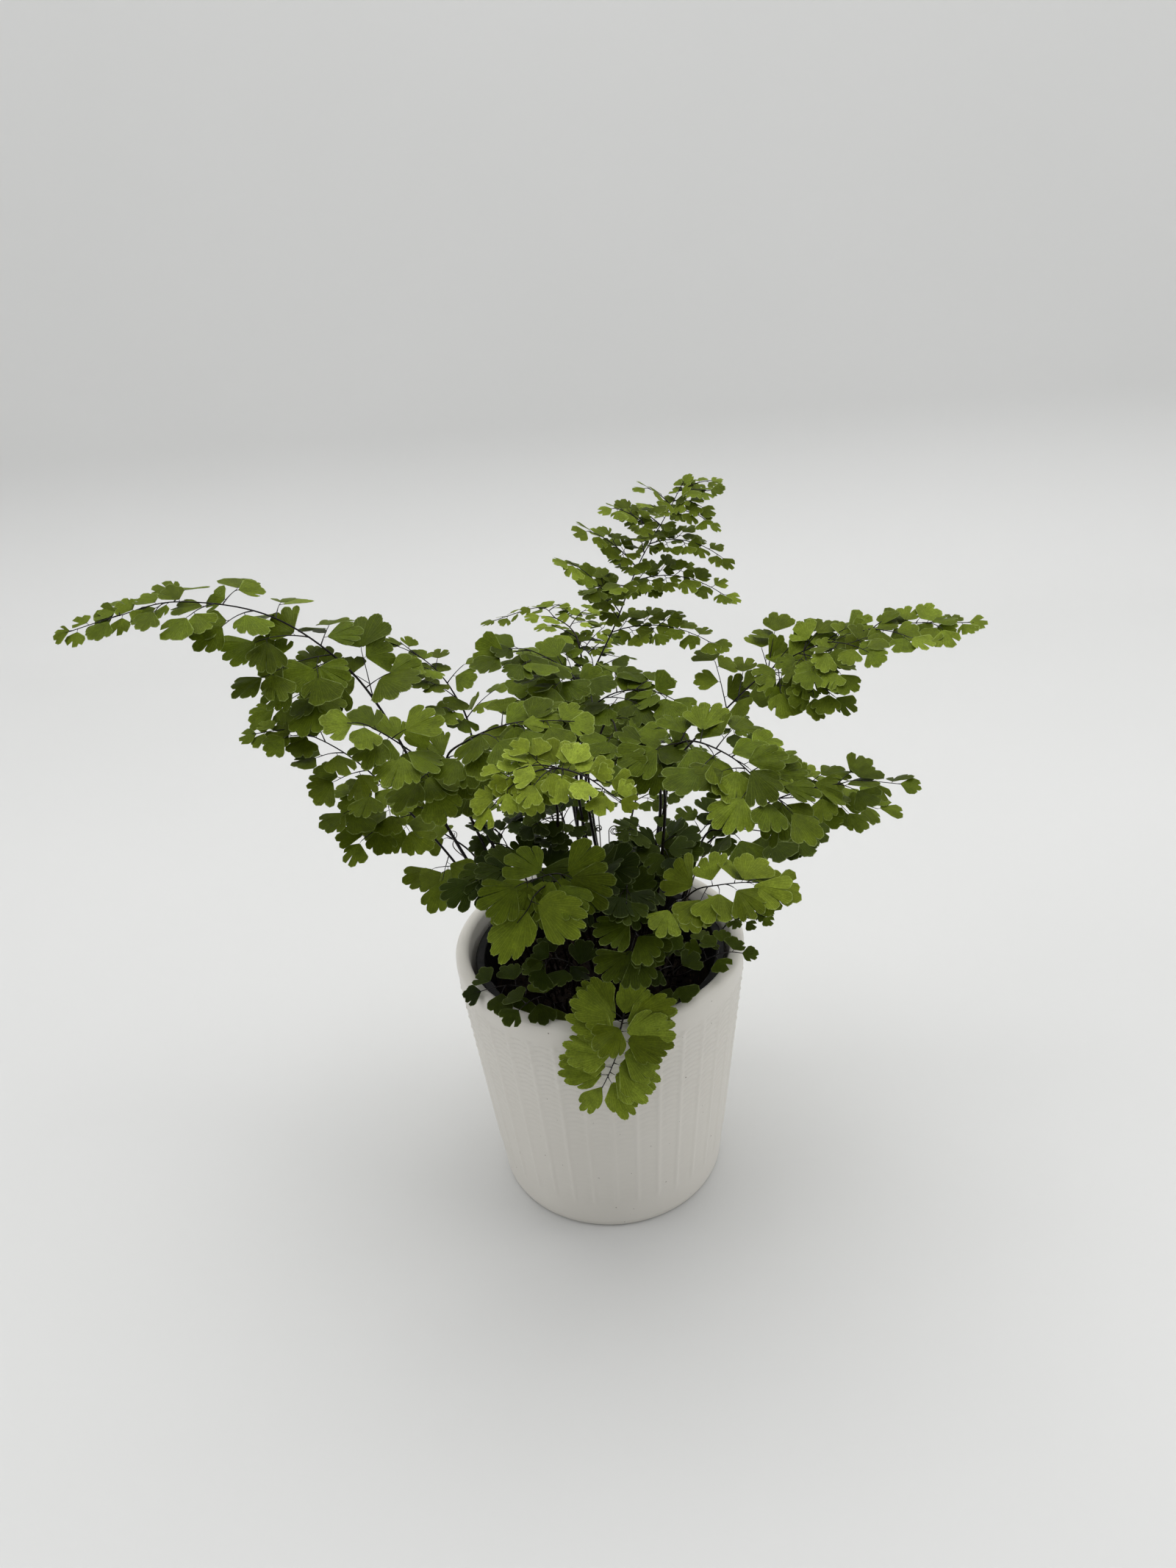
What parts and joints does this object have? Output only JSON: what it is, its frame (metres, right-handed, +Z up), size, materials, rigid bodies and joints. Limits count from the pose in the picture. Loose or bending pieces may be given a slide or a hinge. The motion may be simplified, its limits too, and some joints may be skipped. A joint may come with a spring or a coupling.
{
  "type": "potted maidenhair fern",
  "caption": "Maidenhair fern with arching wiry fronds of fan-shaped leaflets, growing in soil in a plastic nursery pot inside a round white ribbed cover pot.",
  "frame": {"origin": "centre of the cover pot's flat base, on the surface it stands on", "axes": "+Z up, the plant's front towards -Y, +X to the right seen from the front"},
  "size_m": [0.2964, 0.2169, 0.2831],
  "materials": {
    "white_glaze": "glossy white glaze over a raised basket weave",
    "black_plastic": "matt black nursery pot plastic",
    "potting_soil": "dark crumbly potting soil",
    "rhizome": "scaly brown rhizome and root mass",
    "frond_green": "thin matt leaflets on near-black wiry stems",
    "young_stalk": "smooth young stalk",
    "dry_stalk": "dry brown stalk"
  },
  "bodies": {
    "root": {"cover_pot": "white_glaze", "nursery_pot": "black_plastic", "potting_soil": "potting_soil", "crown_left": "rhizome", "crown_centre": "rhizome", "crown_right": "rhizome", "crown_front_left": "rhizome", "crown_front_right": "rhizome", "crozier_coiled": "young_stalk", "crozier_slim": "young_stalk", "crozier_short": "young_stalk", "dried_stalk_left": "dry_stalk", "dried_stalk_centre": "dry_stalk", "dried_stalk_right": "dry_stalk", "long_left": "frond_green", "second_left": "frond_green", "left_front": "frond_green", "left_to_middle": "frond_green", "back_left": "frond_green", "left_low_back": "frond_green", "tall_top": "frond_green", "centre_left_top": "frond_green", "rear_horizontal": "frond_green", "rear_middle": "frond_green", "centre_right_top": "frond_green", "centre_right_low": "frond_green", "arching_middle": "frond_green", "dark_middle": "frond_green", "long_right": "frond_green", "right_big_leaf": "frond_green", "right_far": "frond_green", "right_under": "frond_green", "right_back": "frond_green", "right_low_front": "frond_green", "right_inner": "frond_green", "right_rim_sprig": "frond_green", "right_rim_low": "frond_green", "front_hanging": "frond_green", "front_left_big": "frond_green", "front_left_upper": "frond_green", "middle_fan": "frond_green", "front_middle_dark": "frond_green", "front_drooping": "frond_green", "front_small_left": "frond_green", "left_rim_low": "frond_green", "left_rim_front": "frond_green", "right_front_inner": "frond_green", "inner_left_low": "frond_green", "inner_centre_low": "frond_green", "inner_right_low": "frond_green", "inner_right_mid": "frond_green", "rear_low_left": "frond_green", "rear_low_right": "frond_green"}
  },
  "joints": []
}
